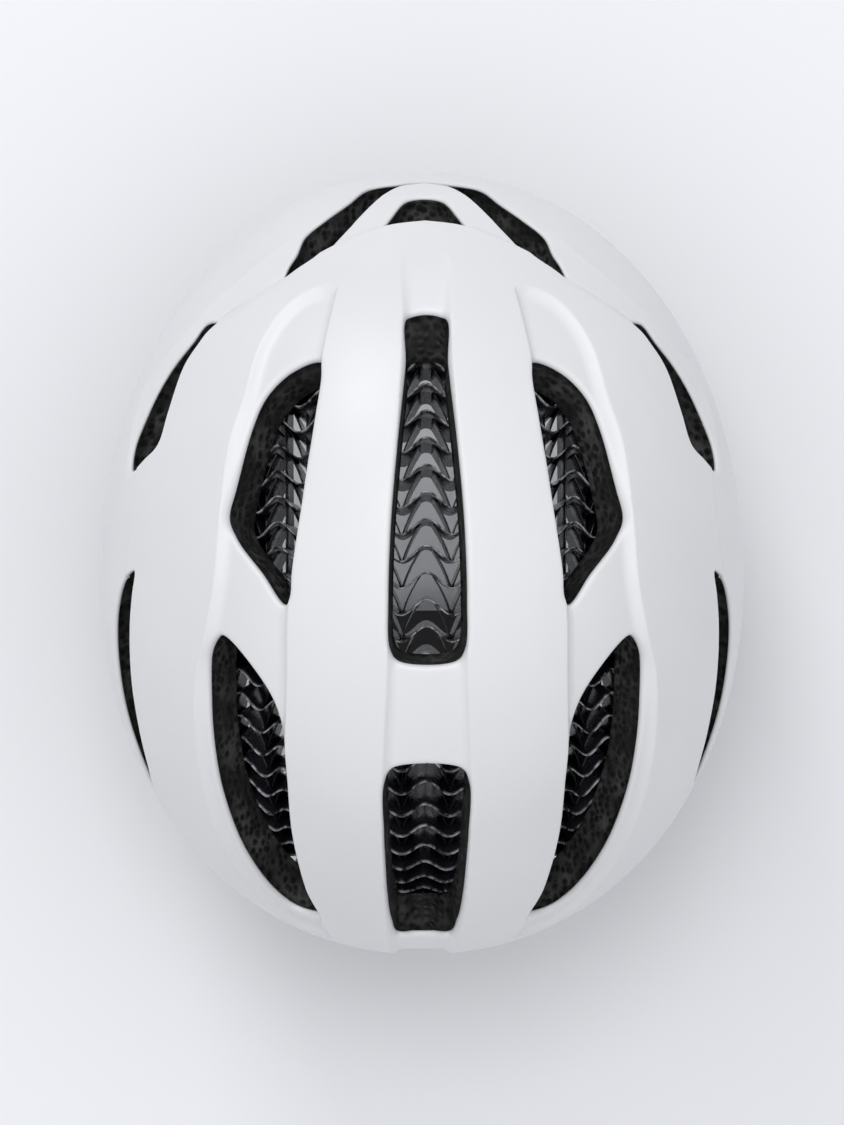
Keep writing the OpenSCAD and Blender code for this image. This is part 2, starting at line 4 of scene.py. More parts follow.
import bpy
import numpy as np
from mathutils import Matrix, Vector
from mathutils.geometry import delaunay_2d_cdt
from mathutils.kdtree import KDTree


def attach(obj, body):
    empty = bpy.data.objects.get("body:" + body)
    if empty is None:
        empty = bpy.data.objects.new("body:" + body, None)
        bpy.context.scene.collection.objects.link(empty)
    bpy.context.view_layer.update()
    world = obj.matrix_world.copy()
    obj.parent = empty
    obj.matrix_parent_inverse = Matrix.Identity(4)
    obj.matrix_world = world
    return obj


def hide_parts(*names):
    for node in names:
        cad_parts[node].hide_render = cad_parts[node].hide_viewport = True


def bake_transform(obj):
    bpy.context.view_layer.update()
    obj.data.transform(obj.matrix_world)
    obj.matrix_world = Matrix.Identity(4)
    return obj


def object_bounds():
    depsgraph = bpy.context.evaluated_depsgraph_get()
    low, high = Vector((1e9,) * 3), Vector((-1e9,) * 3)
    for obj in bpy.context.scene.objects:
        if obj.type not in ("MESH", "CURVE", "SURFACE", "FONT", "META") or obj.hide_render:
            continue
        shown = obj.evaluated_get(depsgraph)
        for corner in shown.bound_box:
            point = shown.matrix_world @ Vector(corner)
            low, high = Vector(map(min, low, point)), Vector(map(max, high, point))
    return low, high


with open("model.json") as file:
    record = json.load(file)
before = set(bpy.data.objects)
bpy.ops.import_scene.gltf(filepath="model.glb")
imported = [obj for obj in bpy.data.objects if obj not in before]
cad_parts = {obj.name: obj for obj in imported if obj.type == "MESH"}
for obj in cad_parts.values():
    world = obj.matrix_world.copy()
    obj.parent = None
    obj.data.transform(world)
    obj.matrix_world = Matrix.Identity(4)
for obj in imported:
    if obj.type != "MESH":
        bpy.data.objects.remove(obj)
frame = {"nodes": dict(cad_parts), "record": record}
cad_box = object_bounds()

# Lengths are millimetres until build() scales them to metres. Outlines are points (u, v) in degrees on a
# flattened map of the dome: the distance from (0, 0) is the tilt from the crown, +u is the wearer's left
# and +v the rear.
MM = 0.001
CENTRE = np.array([0.0, -5.0, 12.0])
HALF_W, REACH_FRONT, REACH_REAR, PLAN_POWER = 111.0, 130.0, 140.0, 2.08
CROWN_H, CROWN_POWER = 116.0, 2.05
SKIRT_H, SKIRT_POWER = 95.0, 2.5
FOAM_IN = 16.9
WAVE_OUT, WAVE_IN = 17.3, 28.3
PAD_OUT, PAD_IN = 28.9, 33.4

# --- Outlines ---

# Azimuth and tilt of the shells' lowest edge, of the crease between the two shells and of the liner's edge
RIM = [(-90, 94.5), (-50, 96), (-15, 101), (10, 99), (35, 103), (60, 104), (90, 101)]
SEAM = [(-90, 90), (-60, 88), (-39, 81), (-31.5, 76.5), (-17, 69), (0, 63), (11, 61.7), (26, 64.4),
        (40, 63.5), (51, 61.9), (65, 59), (72.4, 63), (80, 69.5), (86, 74.5), (90, 75)]
WAVE_EDGE = [(-90, 80), (-40, 82), (0, 84), (45, 80), (65, 71), (90, 68)]

# Vents of the centre line, as their +u halves
VENT_TOP = [(3, 43.3), (3.5, 35), (4.8, 22), (5.9, 9), (6.35, -4), (6.1, -11.5), (4.8, -13.6)]
VENT_BROW = [(5.7, -31.7), (7.1, -34.2), (7.25, -43.5), (7.1, -50.5), (6.9, -58), (6.4, -65.7),
             (5, -73), (2, -72.4)]
VENT_EXHAUST = [(2, 62.3), (4, 61.9), (7.3, 61.2), (5.6, 65), (2.9, 68.6)]
# Vents of one side
VENT_SIDE = [(18, 36.6), (17.4, 34), (18.4, 26.3), (20.5, 13.7), (22.4, 2), (22.9, -3.5), (24.2, -4.6),
             (28.5, 0.7), (33.5, 6.6), (34.9, 10), (33.7, 16), (30.5, 26.6), (27.8, 31.7), (23, 35.5)]
VENT_CHEEK = [(37, -10.4), (39, -13.5), (39.9, -23.5), (39.8, -33), (38.9, -42), (35.6, -56),
              (30.2, -67.5), (26.5, -70.5), (20.8, -69), (22.4, -58), (23.7, -45), (24.2, -30),
              (26.3, -21.5), (30.5, -15.5), (35.6, -10.7)]
VENT_SLIT_REAR = [(39, 48), (42, 44.8), (46, 40.5), (49.5, 32), (52, 26), (56, 24), (61.5, 22.4),
                  (61.5, 27.4), (56, 36), (50.5, 41.5), (45, 45.3), (41.5, 48.2)]
VENT_SLIT_FRONT = [(59, 1.3), (64, -0.8), (68, -7), (70, -15), (70, -30), (67.5, -41), (64, -50),
                   (61.5, -44), (61.5, -33), (62, -22), (61.2, -10), (60, -3.5)]
VENT_ARCH = [(25, 53.3), (22.9, 57.5), (21.5, 62), (18, 65.5), (14, 69.5), (10.5, 74.3), (5, 75.3),
             (0, 75.7), (0, 74.7), (4.5, 73.3), (8, 69.8), (12, 64.8), (19, 56)]

# Edges of the raised ribs beside the centre channel, from the rear to the brow
RIB_IN = [(0.8, 57), (3.8, 54), (3.9, 43), (4.9, 22), (6.4, -4), (6.5, -13.6), (7.3, -31.7), (7.5, -45),
          (7.4, -58), (7.1, -70), (6.7, -80), (6.5, -90), (6.5, -98)]
RIB_OUT = [(14.7, 48.8), (17, 37), (20.2, 14), (22.8, -3.7), (23.2, -17), (23.8, -30), (23.8, -44.7),
           (22.4, -58), (20.6, -68.5), (19.4, -74.5)]
# Outer edge of the side channel, which runs on as the rolled lip of the cheek vent
CHANNEL_OUT = [(14.7, 48.8), (17.6, 49.3), (23.2, 47), (28.3, 40.5), (31.2, 31), (33.9, 23.6),
               (36, 9), (37, -0.5), (39.2, -10), (41.2, -16), (42.3, -24), (42.5, -34), (41.6, -44),
               (38.4, -58), (33.4, -69), (28.6, -76), (19.4, -77)]
ROOF_EDGE = [(21.5, 55), (19.1, 56), (13, 58.7), (6.8, 60.9), (0, 61.9)]
LOWER_RIDGE = [(25, 60.7), (34.6, 54.8), (40.8, 51.5), (45.9, 48.3), (54, 44.1), (59.8, 39.9), (64, 22.9)]
REAR_VALLEY = [(25, 53.3), (30, 51.4), (35, 49.5), (39, 48)]


def polar(table):
    return [(t * math.cos(math.radians(a)), t * math.sin(math.radians(a))) for a, t in table]


def both_sides(points):
    return [tuple(p) for p in points] + [(-u, v) for u, v in reversed(points) if abs(u) > 1e-6]


def curve(points, step, closed=False):
    """Points about every step along a centripetal Catmull-Rom curve."""
    p = [np.array(q, float) for q in points]
    n, out = len(p), []
    for i in range(n if closed else n - 1):
        b, c = p[i], p[(i + 1) % n]
        a = p[i - 1] if closed or i else 2 * b - c
        d = p[(i + 2) % n] if closed or i + 2 < n else 2 * c - b
        t1 = np.linalg.norm(b - a) ** 0.5
        t2 = t1 + np.linalg.norm(c - b) ** 0.5
        t3 = t2 + np.linalg.norm(d - c) ** 0.5
        for k in range(max(1, round(np.linalg.norm(c - b) / step))):
            t = t1 + (t2 - t1) * k / max(1, round(np.linalg.norm(c - b) / step))
            ab, bc, cd = (a * (t1 - t) + b * t) / t1, (b * (t2 - t) + c * (t - t1)) / (t2 - t1), \
                (c * (t3 - t) + d * (t - t2)) / (t3 - t2)
            abc = (ab * (t2 - t) + bc * t) / t2
            bcd = (bc * (t3 - t) + cd * (t - t1)) / (t3 - t1)
            out.append((abc * (t2 - t) + bcd * (t - t1)) / (t2 - t1))
    if not closed:
        out.append(p[-1])
    return np.array(out)


# --- The dome ---


def dome_radius(tilt, az):
    reach = np.where(np.sin(az) > 0, REACH_REAR, REACH_FRONT)
    plan = ((np.abs(np.cos(az)) / HALF_W) ** PLAN_POWER
            + (np.abs(np.sin(az)) / reach) ** PLAN_POWER) ** (-1 / PLAN_POWER)
    low = np.cos(tilt) < 0
    power, height = np.where(low, SKIRT_POWER, CROWN_POWER), np.where(low, SKIRT_H, CROWN_H)
    return ((np.abs(np.sin(tilt)) / plan) ** power
            + (np.abs(np.cos(tilt)) / height) ** power) ** (-1 / power)


def lift(uv, depth=0.0):
    """Points of the flattened map, at a depth below the dome."""
    uv = np.asarray(uv, float).reshape(-1, 2)
    tilt, az = np.radians(np.hypot(uv[:, 0], uv[:, 1])), np.arctan2(uv[:, 1], uv[:, 0])
    d = np.stack([np.sin(tilt) * np.cos(az), np.sin(tilt) * np.sin(az), np.cos(tilt)], 1)
    return CENTRE + (dome_radius(tilt, az) - depth)[:, None] * d


class Near:
    """Distance from points on the dome to a set of lines, in millimetres."""

    def __init__(self, lines):
        dense = []
        for line in lines:
            ends = lift(line)
            p, q = ends[:-1], ends[1:]
            for k in range(4):
                dense.append(p + (q - p) * k / 4)
            dense.append(q[-1:])
        dense = np.vstack(dense)
        self.tree = KDTree(len(dense))
        for i, p in enumerate(dense):
            self.tree.insert(p, i)
        self.tree.balance()

    def __call__(self, uv):
        return np.array([self.tree.find(p)[2] for p in lift(uv)])


def inside(uv, loop):
    """Which points of the map lie inside a closed loop."""
    x, y = uv[:, 0], uv[:, 1]
    hit = np.zeros(len(uv), bool)
    for (x0, y0), (x1, y1) in zip(loop, np.roll(loop, -1, 0)):
        if y0 != y1:
            hit ^= ((y0 > y) != (y1 > y)) & (x < (x1 - x0) * (y - y0) / (y1 - y0) + x0)
    return hit


STEP = 0.42
CENTRE_LOOPS = [curve(both_sides(v), STEP, True) for v in (VENT_TOP, VENT_BROW, VENT_EXHAUST)]
SIDE_LOOPS = [np.maximum(curve(v, STEP, True), [0, -180]) for v in
              (VENT_SIDE, VENT_CHEEK, VENT_SLIT_REAR, VENT_SLIT_FRONT, VENT_ARCH)]
VENT_LOOPS = CENTRE_LOOPS + SIDE_LOOPS
WIDE_LOOPS, THIN_LOOPS = CENTRE_LOOPS[:2] + SIDE_LOOPS[:2], CENTRE_LOOPS[2:] + SIDE_LOOPS[2:]
RIM_LOOP = curve(both_sides(polar(RIM)), STEP, True)
SEAM_LOOP = curve(both_sides(polar(SEAM)), STEP, True)
WAVE_LOOP = curve(both_sides(polar(WAVE_EDGE)), 1.0, True)


def right_half(loop):
    """The part of a loop with u above 0, ending on the centre line."""
    if loop[:, 0].min() >= 0:
        return np.vstack([loop, loop[:1]])
    side = loop[:, 0] > 1e-6
    first = next(i for i in range(len(loop)) if side[i] and not side[i - 1])
    loop, side = np.roll(loop, -first, 0), np.roll(side, -first)
    run = loop[:np.argmin(side)]
    ends = []
    for inner, outer in ((run[0], loop[-1]), (run[-1], loop[len(run)])):
        t = inner[0] / max(inner[0] - outer[0], 1e-9)
        ends.append([0.0, inner[1] + (outer[1] - inner[1]) * t])
    return np.vstack([ends[:1], run, ends[1:]])


def normals_of(line):
    along = np.gradient(line, axis=0)
    along /= np.maximum(np.linalg.norm(along, axis=1), 1e-9)[:, None]
    return np.stack([along[:, 1], -along[:, 0]], 1)


# --- Relief of the white shells ---

near_rib_in = Near([curve(RIB_IN, 0.5)])
near_rib_out = Near([curve(RIB_OUT, 0.5)])
near_channel = Near([curve(CHANNEL_OUT, 0.5)])
near_roof = Near([curve(ROOF_EDGE, 0.5)])
near_ridge = Near([curve(LOWER_RIDGE, 0.5)])
near_valley = Near([curve(REAR_VALLEY, 0.5)])
CENTRE_CHANNEL = np.array(both_sides(curve(RIB_IN, 1.0)))
SIDE_CHANNEL = np.vstack([curve(RIB_OUT, 1.0), curve(CHANNEL_OUT, 1.0)[::-1]])
ARCH_FLOOR = np.array(both_sides([(0, 74.8), (5, 74.2), (9.5, 71.5), (13, 67.5), (16.5, 63), (21.5, 55)]
                                 + [tuple(p) for p in curve(ROOF_EDGE, 1.0)]))


def bank(distance, width):
    """0 at a crisp edge, rising to 1 over width and easing in at the foot."""
    return np.sin(np.clip(distance / width, 0, 1) * math.pi / 2)


def relief(uv):
    """How far the shells stand above the dome, in millimetres; channels are below 0."""
    folded = np.stack([np.abs(uv[:, 0]), uv[:, 1]], 1)
    v = uv[:, 1]
    h = np.zeros(len(uv))
    part = inside(uv, CENTRE_CHANNEL)
    rear_fade = np.clip((57 - v) / 12, 0, 1)
    h[part] -= (1.9 * rear_fade * bank(near_rib_in(folded), 3.4))[part]
    part = inside(folded, SIDE_CHANNEL)
    inner, outer = bank(near_rib_out(folded), 2.6), bank(near_channel(folded), 4.4)
    h[part] -= (2.5 * np.minimum(inner, outer))[part]
    part = inside(uv, ARCH_FLOOR)
    h[part] -= (1.8 * bank(near_roof(folded), 3.0) * np.clip((70 - v) / 7, 0, 1))[part]
    ridge = np.clip(1 - near_ridge(folded) / 9, 0, 1)
    valley = np.clip(1 - near_valley(folded) / 7, 0, 1)
    h += 0.9 * ridge ** 2 - 1.3 * valley ** 2
    return h


def lip(distance, radius):
    """Drop of a rounded edge."""
    x = np.clip(1 - distance / radius, 0, 1)
    return radius * (1 - np.sqrt(1 - x * x))


# --- Mesh building ---


def build(name, points, faces, body, material):
    """A smooth-shaded mesh from millimetres; body is None for a piece that is left unattached."""
    mesh = bpy.data.meshes.new(name)
    mesh.from_pydata((np.asarray(points) * MM).tolist(), [], [tuple(map(int, f)) for f in faces])
    mesh.validate()
    mesh.update()
    mesh.polygons.foreach_set("use_smooth", [True] * len(mesh.polygons))
    obj = bpy.data.objects.new(name, mesh)
    bpy.context.scene.collection.objects.link(obj)
    mesh.materials.append(material)
    if body:
        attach(obj, body)
    return obj


def map_points(loops, lines, ring_steps, grid, clear):
    """Points and fixed edges of the +u half of the map, denser beside the loops and along the lines."""
    fixed, edges = [], []

    def add(line):
        start = len(fixed)
        fixed.extend(line.tolist())
        edges.extend((start + i, start + i + 1) for i in range(len(line) - 1))

    halves = [right_half(loop) for loop in loops]
    for line in halves + lines:
        add(line)
    top = max(h[:, 1].max() for h in halves)
    low = min(h[:, 1].min() for h in halves)
    add(np.array([[0.0, y] for y in np.arange(low, top + grid, grid)]))
    near_loops = Near(halves)
    extra = []
    for line in halves:
        n = normals_of(line)
        for offset in ring_steps:
            thin = line[::max(1, int(offset / 1.6))] if offset > 1.6 else line
            m = n[::max(1, int(offset / 1.6))] if offset > 1.6 else n
            for side in (-1, 1):
                ring = thin + side * m * offset / 2
                ring = ring[ring[:, 0] > 0.05]
                if len(ring):
                    d = near_loops(ring)
                    extra.append(ring[(d > 0.6 * offset) & (d < 1.5 * offset)])
    near_lines = Near(lines) if lines else None
    for line in lines:
        n = normals_of(line)
        for offset in (0.5, 1.1):
            for side in (-1, 1):
                ring = line + side * n * offset / 2
                ring = ring[ring[:, 0] > 0.05]
                d, e = near_loops(ring), near_lines(ring)
                extra.append(ring[(d > 0.7) & (e > 0.7 * offset)])
    us, vs = np.meshgrid(np.arange(grid / 2, 106, grid), np.arange(-106, 106, grid))
    us[::2] += grid / 2
    cloud = np.stack([us.ravel(), vs.ravel()], 1)
    cloud = cloud[inside(cloud, RIM_LOOP)]
    keep = near_loops(cloud) > clear
    if near_lines:
        keep &= near_lines(cloud) > 1.6
    extra.append(cloud[keep])
    return fixed + np.vstack(extra).tolist(), edges


def triangulate(points, edges):
    flat, _, faces, *_ = delaunay_2d_cdt([Vector(p) for p in points], edges, [], 0, 1e-5)
    uv = np.array([tuple(p) for p in flat])
    tris = np.array([f for f in faces if len(f) == 3])
    a, b, c = uv[tris[:, 0]], uv[tris[:, 1]], uv[tris[:, 2]]
    area = (b[:, 0] - a[:, 0]) * (c[:, 1] - a[:, 1]) - (b[:, 1] - a[:, 1]) * (c[:, 0] - a[:, 0])
    tris[area < 0] = tris[area < 0][:, ::-1]
    return uv, tris[np.abs(area) > 1e-7]


def both_halves(uv, tris):
    """The kept triangles with their mirror image, joined along the centre line."""
    used = np.unique(tris)
    back = -np.ones(len(uv), int)
    back[used] = np.arange(len(used))
    uv, tris = uv[used], back[tris]
    on_line = np.abs(uv[:, 0]) < 1e-4
    uv[on_line, 0] = 0
    twin = np.where(on_line, np.arange(len(uv)), 0)
    twin[~on_line] = len(uv) + np.arange((~on_line).sum())
    mirror_uv = uv[~on_line] * [-1, 1]
    return np.vstack([uv, mirror_uv]), np.vstack([tris, twin[tris][:, ::-1]])


def rim_edges(tris):
    """Edges with one triangle, in that triangle's direction."""
    e = np.vstack([tris[:, [0, 1]], tris[:, [1, 2]], tris[:, [2, 0]]])
    key = np.sort(e, 1)
    _, index, count = np.unique(key, axis=0, return_index=True, return_counts=True)
    return e[index[count == 1]]


def walls(uv, edges, depth, rows, start):
    """Strips that hang from the open edges: rows are (extra depth, tuck under the surface)."""
    ring = np.unique(edges)
    place = {int(r): i for i, r in enumerate(ring)}
    along = uv[edges[:, 1]] - uv[edges[:, 0]]
    inward = np.stack([-along[:, 1], along[:, 0]], 1)
    inward /= np.maximum(np.linalg.norm(inward, axis=1), 1e-9)[:, None]
    mean = np.zeros((len(ring), 2))
    for k in (0, 1):
        np.add.at(mean, [place[int(i)] for i in edges[:, k]], inward)
    mean /= np.maximum(np.linalg.norm(mean, axis=1), 1e-9)[:, None]
    points, faces, n = [], [], len(ring)
    for extra, tuck in rows:
        points.append(lift(uv[ring] + mean * tuck / 2, depth[ring] + extra))
    for a, b in edges:
        i, j = place[int(a)], place[int(b)]
        upper = (int(a), int(b))
        for k in range(len(rows)):
            lower = (start + k * n + i, start + k * n + j)
            faces.append((upper[1], upper[0], lower[0], lower[1]))
            upper = lower
    return np.vstack(points), faces


def layer(name, uv, tris, depth, rows, material):
    """A curved sheet on the dome with walls along its edges."""
    top = lift(uv, depth)
    low, faces = walls(uv, rim_edges(tris), depth, rows, len(uv))
    return build(name, np.vstack([top, low]), tris.tolist() + faces, "helmet", material)


# --- Materials ---


class Nodes:
    """A material's node tree, with short calls to add and link nodes."""

    def __init__(self, name):
        self.material = bpy.data.materials.new(name)
        self.material.use_nodes = True
        self.tree = self.material.node_tree
        self.shader = self.tree.nodes["Principled BSDF"]

    def set(self, **values):
        for key, value in values.items():
            socket = self.shader.inputs[key.replace("_", " ")]
            if hasattr(value, "is_output"):
                self.tree.links.new(value, socket)
            else:
                socket.default_value = (*value, 1) if isinstance(value, tuple) and len(value) == 3 else value
        return self

    def node(self, kind, props=(), **inputs):
        n = self.tree.nodes.new(kind)
        for key, value in dict(props).items():
            setattr(n, key, value)
        for key, value in inputs.items():
            socket = n.inputs[int(key[1:])] if key[0] == "i" and key[1:].isdigit() else \
                n.inputs[key.replace("_", " ")]
            if hasattr(value, "is_output"):
                self.tree.links.new(value, socket)
            else:
                socket.default_value = value
        return n

    def place(self, uv=False):
        return self.node("ShaderNodeTexCoord").outputs["UV" if uv else "Object"]

    def noise(self, scale, detail):
        return self.node("ShaderNodeTexNoise", Vector=self.place(), Scale=scale, Detail=detail).outputs["Fac"]

    def ramp(self, value, *stops):
        n = self.node("ShaderNodeValToRGB", i0=value)
        r = n.color_ramp
        while len(r.elements) < len(stops):
            r.elements.new(0.5)
        for e, (at, colour) in zip(r.elements, stops):
            e.position = at
            e.color = (*colour, 1) if isinstance(colour, tuple) else (colour, colour, colour, 1)
        return n.outputs["Color"]

    def scaled(self, value, low, high, start=0.0, end=1.0):
        return self.node("ShaderNodeMapRange", i0=value, i1=start, i2=end, i3=low, i4=high).outputs[0]

    def maths(self, operation, a, b=0.0):
        return self.node("ShaderNodeMath", {"operation": operation}, i0=a, i1=b).outputs[0]

    def bump(self, height, distance, strength=1.0, normal=None):
        n = self.node("ShaderNodeBump", Height=height, Distance=distance, Strength=strength)
        if normal:
            self.tree.links.new(normal, n.inputs["Normal"])
        return n.outputs["Normal"]


def shell_material():
    """Satin white paint: faint orange peel, soft mottling and slightly duller handled areas."""
    m = Nodes("satin_white")
    broad, fine = m.noise(18, 4), m.noise(900, 2)
    return m.set(Base_Color=m.ramp(broad, (0.3, (0.80, 0.805, 0.82)), (0.7, (0.835, 0.84, 0.85))),
                 Roughness=m.scaled(m.noise(60, 3), 0.36, 0.46),
                 Normal=m.bump(fine, 0.00004, 0.35, m.bump(m.noise(160, 2), 0.0002, 0.12)),
                 Coat_Weight=0.15, Coat_Roughness=0.32).material


def foam_material():
    """Moulded black bead foam: dark round beads with paler, patchy borders and a fine surface grain."""
    m = Nodes("bead_foam")
    warp = m.node("ShaderNodeVectorMath", {"operation": "ADD"}, i0=m.place(),
                  i1=m.node("ShaderNodeVectorMath", {"operation": "SCALE"},
                            i0=m.node("ShaderNodeTexNoise", Vector=m.place(), Scale=260.0).outputs["Color"],
                            Scale=0.0006).outputs[0]).outputs[0]
    beads = m.node("ShaderNodeTexVoronoi", Vector=warp, Scale=380.0, Randomness=0.75)
    away, cell = beads.outputs["Distance"], beads.outputs["Color"]
    patch = m.noise(90, 3)
    border = m.scaled(away, 0.0, 1.0, 0.34, 0.6)
    bright = m.maths("MULTIPLY", border, m.scaled(patch, 0.05, 1.0, 0.4, 0.66))
    shade = m.maths("ADD", m.maths("MULTIPLY", bright, 0.06),
                    m.scaled(m.node("ShaderNodeSeparateColor", i0=cell).outputs[0], 0.004, 0.010))
    colour = m.node("ShaderNodeCombineColor", i0=shade, i1=m.maths("MULTIPLY", shade, 0.975),
                    i2=m.maths("MULTIPLY", shade, 0.985)).outputs[0]
    return m.set(Base_Color=colour, Roughness=m.scaled(border, 0.62, 0.8),
                 Normal=m.bump(m.scaled(away, 1, 0, 0.1, 0.65), 0.0006, 0.75,
                               m.bump(m.noise(2500, 2), 0.0001, 0.3))).material


def wave_material():
    """Smoky, glossy liner plastic with flow marks, and a painted highlight: pale grey colour along the cells'
    top edges, broken up by noise.
    """
    m = Nodes("smoke_polymer")
    flow = m.noise(240, 5)
    body = m.ramp(m.noise(50, 3), (0.3, (0.006, 0.006, 0.009)), (0.8, (0.018, 0.017, 0.023)))
    # painted highlight: the walls' top edges are mixed towards pale grey by the crest weight, so they look
    # lit
    crest = m.node("ShaderNodeAttribute", {"attribute_name": "crest"}).outputs["Fac"]
    painted_crest_highlight = m.maths("MULTIPLY", crest, m.scaled(m.noise(420, 5), 0.0, 1.0, 0.42, 0.62))
    mix = m.node("ShaderNodeMix", {"data_type": "RGBA"}, Factor=painted_crest_highlight)
    m.tree.links.new(body, mix.inputs[6])
    mix.inputs[7].default_value = (0.42, 0.42, 0.45, 1)
    return m.set(Base_Color=mix.outputs[2],
                 Roughness=m.scaled(flow, 0.16, 0.38, 0.3, 0.7),
                 Normal=m.bump(flow, 0.0005, 0.5, m.bump(m.noise(1200, 2), 0.0001, 0.3)),
                 Specular_IOR_Level=0.6).material


def fabric_material():
    """Brushed pad cloth: a fine knit with a soft nap and slight fading."""
    m = Nodes("pad_cloth")
    knit = m.node("ShaderNodeTexVoronoi", Vector=m.place(), Scale=1500.0).outputs["Distance"]
    nap = m.noise(3500, 3)
    return m.set(Base_Color=m.ramp(m.maths("ADD", m.maths("MULTIPLY", m.noise(40, 4), 0.5),
                                           m.maths("MULTIPLY", nap, 0.5)),
                                   (0.35, (0.018, 0.018, 0.02)), (0.7, (0.05, 0.05, 0.054))),
                 Roughness=m.scaled(nap, 0.85, 0.98), Sheen_Weight=0.35, Sheen_Roughness=0.5,
                 Normal=m.bump(knit, 0.0003, 0.7, m.bump(nap, 0.0002, 0.4))).material


def webbing_material():
    """Woven nylon webbing, in UV millimetres: ribs along the strap and pick rows across it, with painted
    shade darkening the weave's hollows.
    """
    m = Nodes("nylon_webbing")
    uv = m.node("ShaderNodeSeparateXYZ", i0=m.place(uv=True))
    along, across = uv.outputs[0], uv.outputs[1]

    def wave(value, period, phase=0.0):
        return m.maths("SINE", m.maths("ADD", m.maths("MULTIPLY", value, 2 * math.pi / period), phase))

    weave = m.maths("MULTIPLY", wave(along, 1.1), wave(across, 1.4))
    ribs = m.maths("ABSOLUTE", wave(across, 2.8))
    height = m.maths("ADD", m.maths("MULTIPLY", weave, 0.5), ribs)
    # painted shade: colour follows the weave's height, darker in its hollows and lighter on its high points,
    # plus random tone from noise
    shaded_weave_tone = m.scaled(m.maths("ADD", height, m.noise(300, 3)), 0.016, 0.055, 0.0, 2.2)
    colour = m.node("ShaderNodeCombineColor", i0=shaded_weave_tone, i1=shaded_weave_tone, i2=m.maths("MULTIPLY", shaded_weave_tone, 1.07)).outputs[0]
    return m.set(Base_Color=colour, Roughness=m.scaled(height, 0.62, 0.48), Sheen_Weight=0.15,
                 Normal=m.bump(height, 0.0003, 0.9)).material


def plastic_material(name, shade, rough, grain):
    """Moulded plastic: spark-eroded grain, uneven gloss and slightly rubbed high spots."""
    m = Nodes(name)
    texture = m.noise(grain, 3)
    worn = m.noise(45, 4)
    colour = m.ramp(worn, (0.3, tuple(shade * k for k in (0.95, 0.95, 1.0))),
                    (0.75, tuple(shade * k for k in (1.5, 1.5, 1.55))))
    return m.set(Base_Color=colour, Roughness=m.scaled(worn, rough - 0.07, rough + 0.1, 0.3, 0.7),
                 Normal=m.bump(texture, 0.00012, 0.5)).material


def steel_material():
    """Bright spring steel with drawn streaks."""
    m = Nodes("spring_steel")
    stretched = m.node("ShaderNodeMapping", Vector=m.place(), Scale=(300.0, 300.0, 4000.0)).outputs[0]
    streak = m.node("ShaderNodeTexNoise", Vector=stretched, Scale=1.0, Detail=4.0).outputs["Fac"]
    return m.set(Base_Color=m.ramp(streak, (0.3, (0.42, 0.42, 0.43)), (0.7, (0.6, 0.6, 0.61))), Metallic=1.0,
                 Roughness=m.scaled(streak, 0.22, 0.4), Normal=m.bump(streak, 0.00005, 0.3)).material


WHITE, FOAM, WAVE = shell_material(), foam_material(), wave_material()
CLOTH, WEBBING = fabric_material(), webbing_material()
PLASTIC = plastic_material("black_nylon", 0.022, 0.45, 1800)
RUBBER = plastic_material("grip_rubber", 0.03, 0.72, 900)
STEEL = steel_material()

# --- White shells and foam ---


def make_shells():
    creases = [right_half(curve(both_sides(RIB_IN), 0.5, True))] + \
        [curve(c, 0.5) for c in (RIB_OUT, CHANNEL_OUT, ROOF_EDGE, LOWER_RIDGE, REAR_VALLEY)]
    loops = VENT_LOOPS + [RIM_LOOP, SEAM_LOOP]
    points, edges = map_points(loops, creases, (0.12, 0.4, 0.85, 1.5, 2.4), 0.78, 3.1)
    uv, tris = triangulate(points, edges)
    middle = uv[tris].mean(1)
    solid = inside(middle, RIM_LOOP) & (middle[:, 0] > 0)
    for loop in VENT_LOOPS:
        solid &= ~inside(middle, loop)
    above = inside(middle, SEAM_LOOP)
    near_wide = Near([right_half(v) for v in WIDE_LOOPS])
    near_thin = Near([right_half(v) for v in THIN_LOOPS])
    near_seam, near_rim = Near([right_half(SEAM_LOOP)]), Near([right_half(RIM_LOOP)])
    for name, part, node in (("shell_upper", above, "outer_shell"), ("shell_lower", ~above, "lower_shell")):
        map_uv, faces = both_halves(uv, tris[solid & part])
        folded = np.abs(map_uv[:, :1])
        folded = np.hstack([folded, map_uv[:, 1:]])
        drop = np.maximum(lip(near_wide(folded), 1.5), lip(near_thin(folded), 0.7))
        drop = np.maximum(drop, lip(near_seam(folded), 0.8))
        drop = np.maximum(drop, lip(near_rim(folded), 2.2))
        if node == "lower_shell":
            drop += 0.3
        obj = layer(name, map_uv, faces, drop - relief(map_uv), ((0.35, 0.0), (0.7, 0.2), (0.8, 0.8)), WHITE)
        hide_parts(node)


